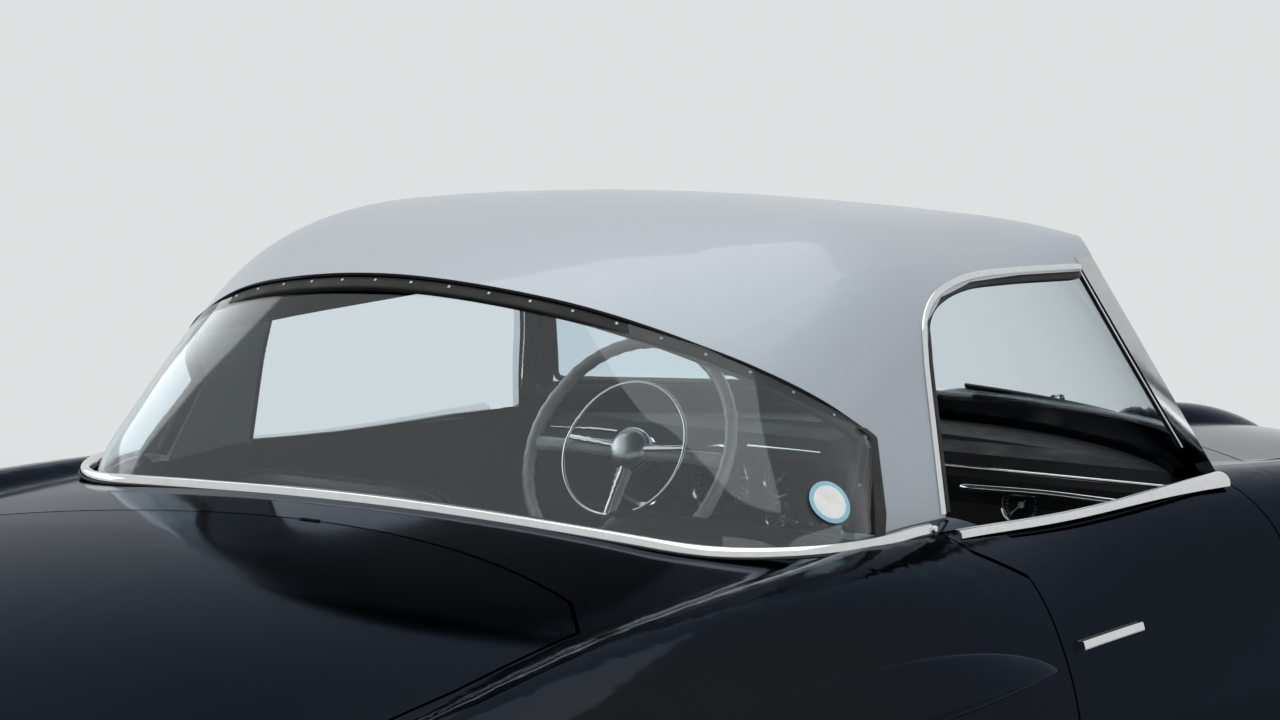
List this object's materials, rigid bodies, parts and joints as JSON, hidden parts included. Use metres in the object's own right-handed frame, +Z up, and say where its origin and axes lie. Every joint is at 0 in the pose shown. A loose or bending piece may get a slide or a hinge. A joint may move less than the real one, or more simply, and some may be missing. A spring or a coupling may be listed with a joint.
{
  "type": "roadster",
  "caption": "Two-seat roadster with a detachable hardtop, chrome bumpers, steered front wheels, opening doors, hood and boot lid.",
  "frame": {"origin": "on the ground, midway between the bumpers, on the centre line", "axes": "+Z up, +X the car's left, the nose points along -Y"},
  "size_m": [1.7732, 4.57, 1.3158],
  "materials": {
    "body_paint": "gloss black paint",
    "roof_paint": "silver paint",
    "floor_paint": "matt black paint",
    "dash_paint": "satin black",
    "chrome": "polished",
    "glass": "clear",
    "lamp_glass": "clear ribbed",
    "red_lens": "red lens",
    "leather": "dark leather",
    "dark_plastic": "gloss",
    "ivory_plastic": "ivory",
    "cast_iron": "cast",
    "steel": "plain",
    "tyre": "black rubber",
    "wheel_paint": "silver paint with a bright cap"
  },
  "bodies": {
    "car": {"front_body": "body_paint", "rear_body": "body_paint", "sill_left": "body_paint", "sill_right": "body_paint", "floor_pan": "floor_paint", "dashboard": "dash_paint", "windscreen_frame": "chrome", "windscreen_glass": "glass", "hardtop": "roof_paint", "rear_glass": "glass", "deck_rail": "chrome", "seat_left": "leather", "seat_right": "leather", "steering_column": "dark_plastic", "engine": "cast_iron", "front_bumper": "chrome", "rear_bumper": "chrome", "grille": "chrome", "headlamp_left": "lamp_glass", "headlamp_right": "lamp_glass", "tail_lamp_left": "red_lens", "tail_lamp_right": "red_lens", "exhaust": "steel", "rear_axle": "steel", "front_crossmember": "steel", "mirror": "chrome"},
    "steering_wheel": {"steering_wheel": "ivory_plastic"},
    "knuckle_left": {"knuckle_left": "steel"},
    "knuckle_right": {"knuckle_right": "steel"},
    "door_left": {"door_left": "body_paint"},
    "door_right": {"door_right": "body_paint"},
    "hood": {"hood": "body_paint"},
    "trunk_lid": {"trunk_lid": "body_paint"},
    "wheel_front_left": {"wheel_front_left": "wheel_paint", "tyre_front_left": "tyre"},
    "wheel_front_right": {"wheel_front_right": "wheel_paint", "tyre_front_right": "tyre"},
    "wheel_rear_left": {"wheel_rear_left": "wheel_paint", "tyre_rear_left": "tyre"},
    "wheel_rear_right": {"wheel_rear_right": "wheel_paint", "tyre_rear_right": "tyre"}
  },
  "joints": [
    {"name": "left_steer", "type": "hinge", "parent": "car", "child": "knuckle_left", "pos_m": [0.6, -1.45, 0.35], "axis": [0, 0, 1], "range_deg": [-30, 30]},
    {"name": "right_steer", "type": "hinge", "parent": "car", "child": "knuckle_right", "pos_m": [-0.6, -1.45, 0.35], "axis": [0, 0, 1], "range_deg": [-30, 30]},
    {"name": "steering_turn", "type": "hinge", "parent": "car", "child": "steering_wheel", "pos_m": [0.314, -0.221, 0.855], "axis": [0, 0.9063, 0.4226], "range_deg": [-540, 540]},
    {"name": "front_left_roll", "type": "hinge", "parent": "knuckle_left", "child": "wheel_front_left", "pos_m": [0.699, -1.45, 0.345], "axis": [1, 0, 0], "continuous": true},
    {"name": "front_right_roll", "type": "hinge", "parent": "knuckle_right", "child": "wheel_front_right", "pos_m": [-0.699, -1.45, 0.345], "axis": [1, 0, 0], "continuous": true},
    {"name": "rear_left_roll", "type": "hinge", "parent": "car", "child": "wheel_rear_left", "pos_m": [0.724, 0.95, 0.345], "axis": [1, 0, 0], "continuous": true},
    {"name": "rear_right_roll", "type": "hinge", "parent": "car", "child": "wheel_rear_right", "pos_m": [-0.724, 0.95, 0.345], "axis": [1, 0, 0], "continuous": true},
    {"name": "left_door_hinge", "type": "hinge", "parent": "car", "child": "door_left", "pos_m": [0.8695, -0.3475, 0.6], "axis": [0, 0, -1], "range_deg": [0, 65]},
    {"name": "right_door_hinge", "type": "hinge", "parent": "car", "child": "door_right", "pos_m": [-0.8695, -0.3475, 0.6], "axis": [0, 0, 1], "range_deg": [0, 65]},
    {"name": "hood_hinge", "type": "hinge", "parent": "car", "child": "hood", "pos_m": [0, -2.0345, 0.7356], "axis": [1, 0, 0], "range_deg": [0, 50]},
    {"name": "trunk_hinge", "type": "hinge", "parent": "car", "child": "trunk_lid", "pos_m": [0, 0.9725, 0.893], "axis": [1, 0, 0], "range_deg": [0, 55]}
  ],
  "couplings": [
    {"joint": "right_steer", "follows": "left_steer", "ratio": 1},
    {"joint": "steering_turn", "follows": "left_steer", "ratio": 18}
  ]
}
